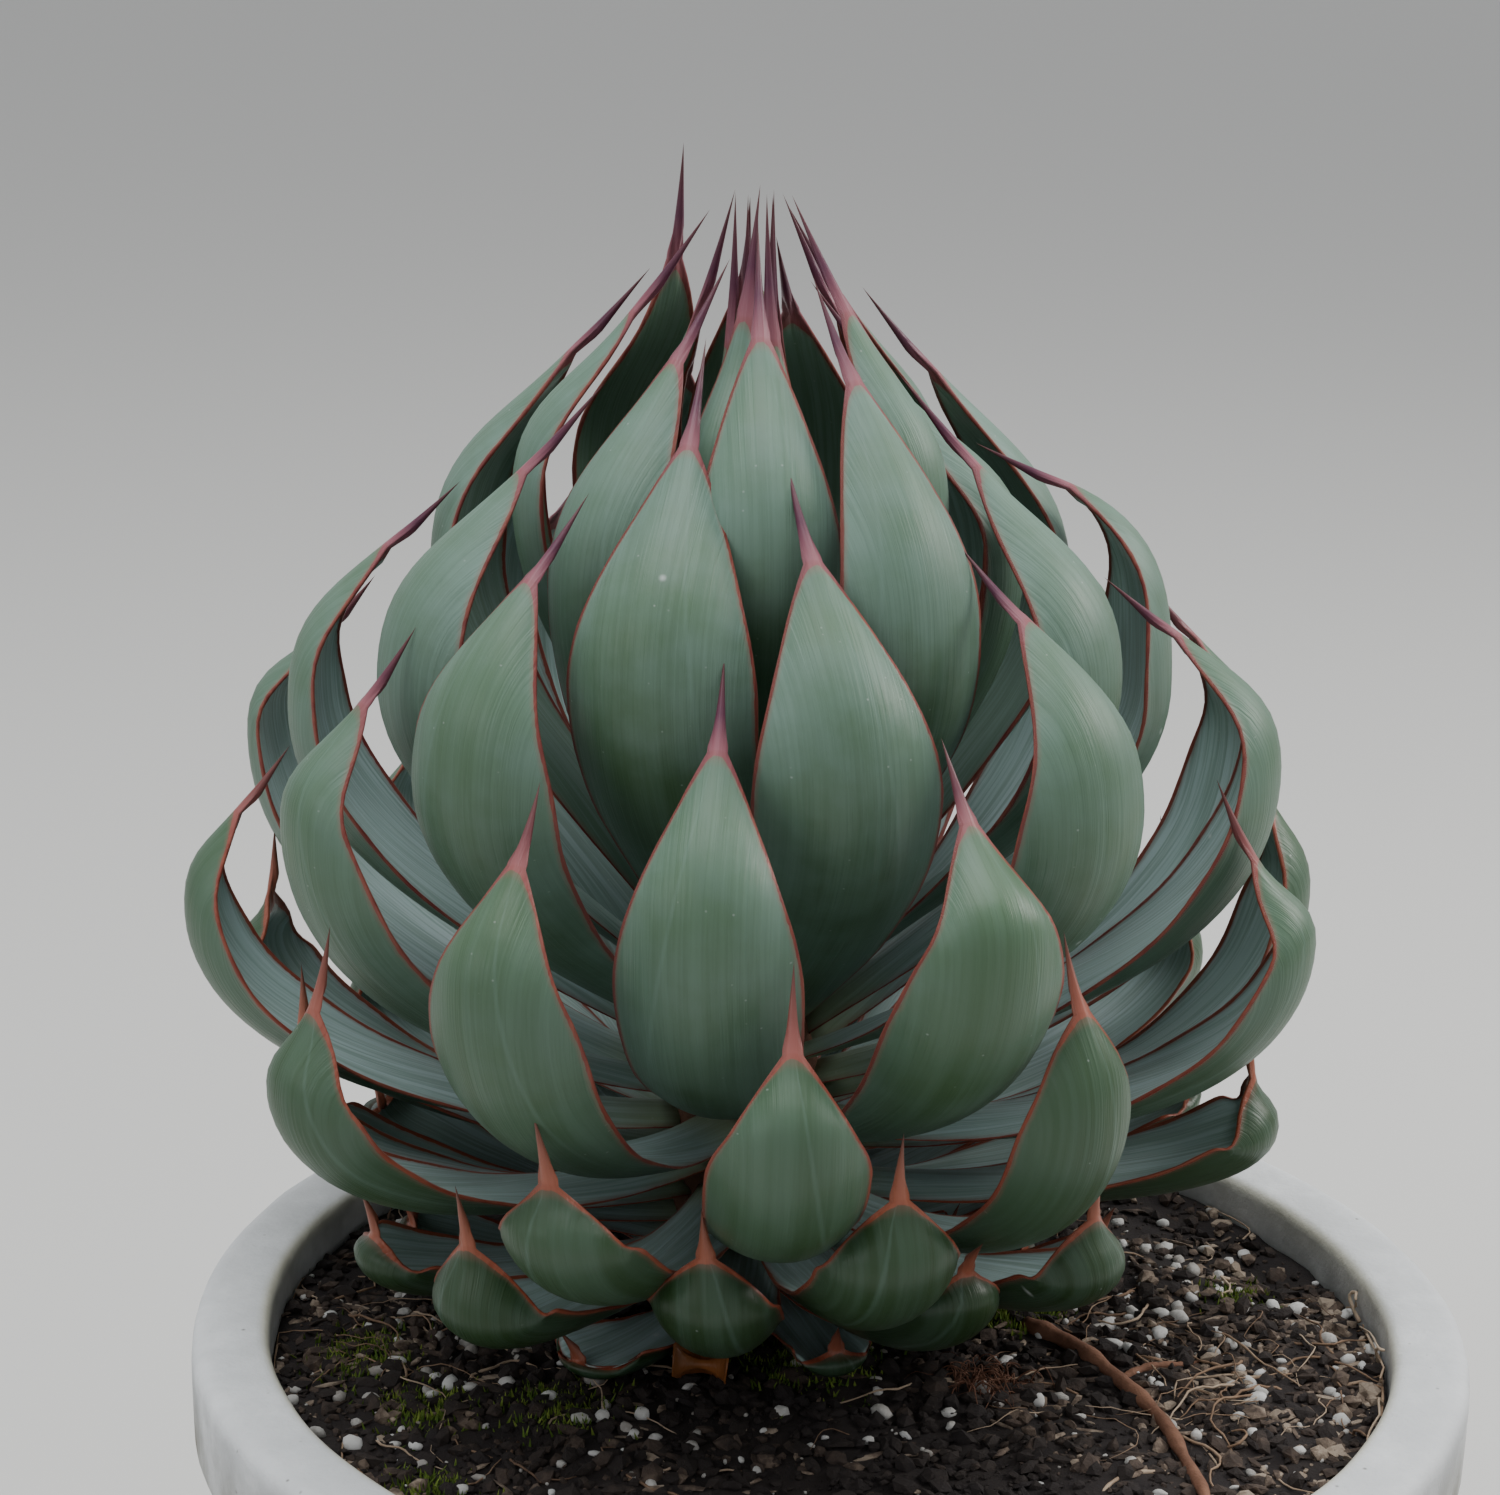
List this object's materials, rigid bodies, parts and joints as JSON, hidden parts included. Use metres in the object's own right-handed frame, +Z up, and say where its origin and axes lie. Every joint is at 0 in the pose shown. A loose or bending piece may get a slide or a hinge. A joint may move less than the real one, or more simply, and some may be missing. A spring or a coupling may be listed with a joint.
{
  "type": "potted mangave succulent",
  "caption": "Globe of cupped, spine-tipped succulent leaves rising from dark gritty soil in a round, thick-rimmed bowl with a flat foot.",
  "frame": {"origin": "centre of the bowl's flat underside", "axes": "+Z up along the bowl's axis, -Y towards the side that the picture shows, +X to its right"},
  "size_m": [0.3544, 0.361, 0.5019],
  "materials": {
    "pot": "matt, cast stone look, finely speckled and weathered",
    "soil": "loose dark potting mix with perlite, bark and moss",
    "root": "dry brown root skin",
    "old_leaf": "waxy green leaf skin with red-brown horny margins",
    "leaf": "waxy blue-green leaf skin with a pale bloom, red-brown horny margins and purple spines",
    "bud": "young waxy leaves with dark magenta spines"
  },
  "bodies": {
    "root": {"pot": "pot", "soil": "soil", "surface_root": "root", "stem_with_old_leaves": "old_leaf", "leaf_01": "leaf", "leaf_02": "leaf", "leaf_03": "leaf", "leaf_04": "leaf", "leaf_05": "leaf", "leaf_06": "leaf", "leaf_07": "leaf", "leaf_08": "leaf", "leaf_09": "leaf", "leaf_10": "leaf", "leaf_11": "leaf", "leaf_12": "leaf", "leaf_13": "leaf", "leaf_14": "leaf", "leaf_15": "leaf", "leaf_16": "leaf", "leaf_17": "leaf", "leaf_18": "leaf", "leaf_19": "leaf", "leaf_20": "leaf", "leaf_21": "leaf", "leaf_22": "leaf", "leaf_23": "leaf", "leaf_24": "leaf", "leaf_25": "leaf", "leaf_26": "leaf", "leaf_27": "leaf", "leaf_28": "leaf", "leaf_29": "leaf", "leaf_30": "leaf", "leaf_31": "leaf", "leaf_32": "leaf", "leaf_33": "leaf", "leaf_34": "leaf", "leaf_35": "leaf", "leaf_36": "leaf", "leaf_37": "leaf", "leaf_38": "leaf", "leaf_39": "leaf", "leaf_40": "leaf", "leaf_41": "leaf", "leaf_42": "leaf", "leaf_43": "leaf", "leaf_44": "leaf", "leaf_45": "leaf", "leaf_46": "leaf", "leaf_47": "leaf", "leaf_48": "leaf", "leaf_49": "leaf", "leaf_50": "leaf", "leaf_51": "leaf", "leaf_52": "leaf", "leaf_53": "leaf", "leaf_54": "leaf", "leaf_55": "leaf", "leaf_bud": "bud"}
  },
  "joints": []
}
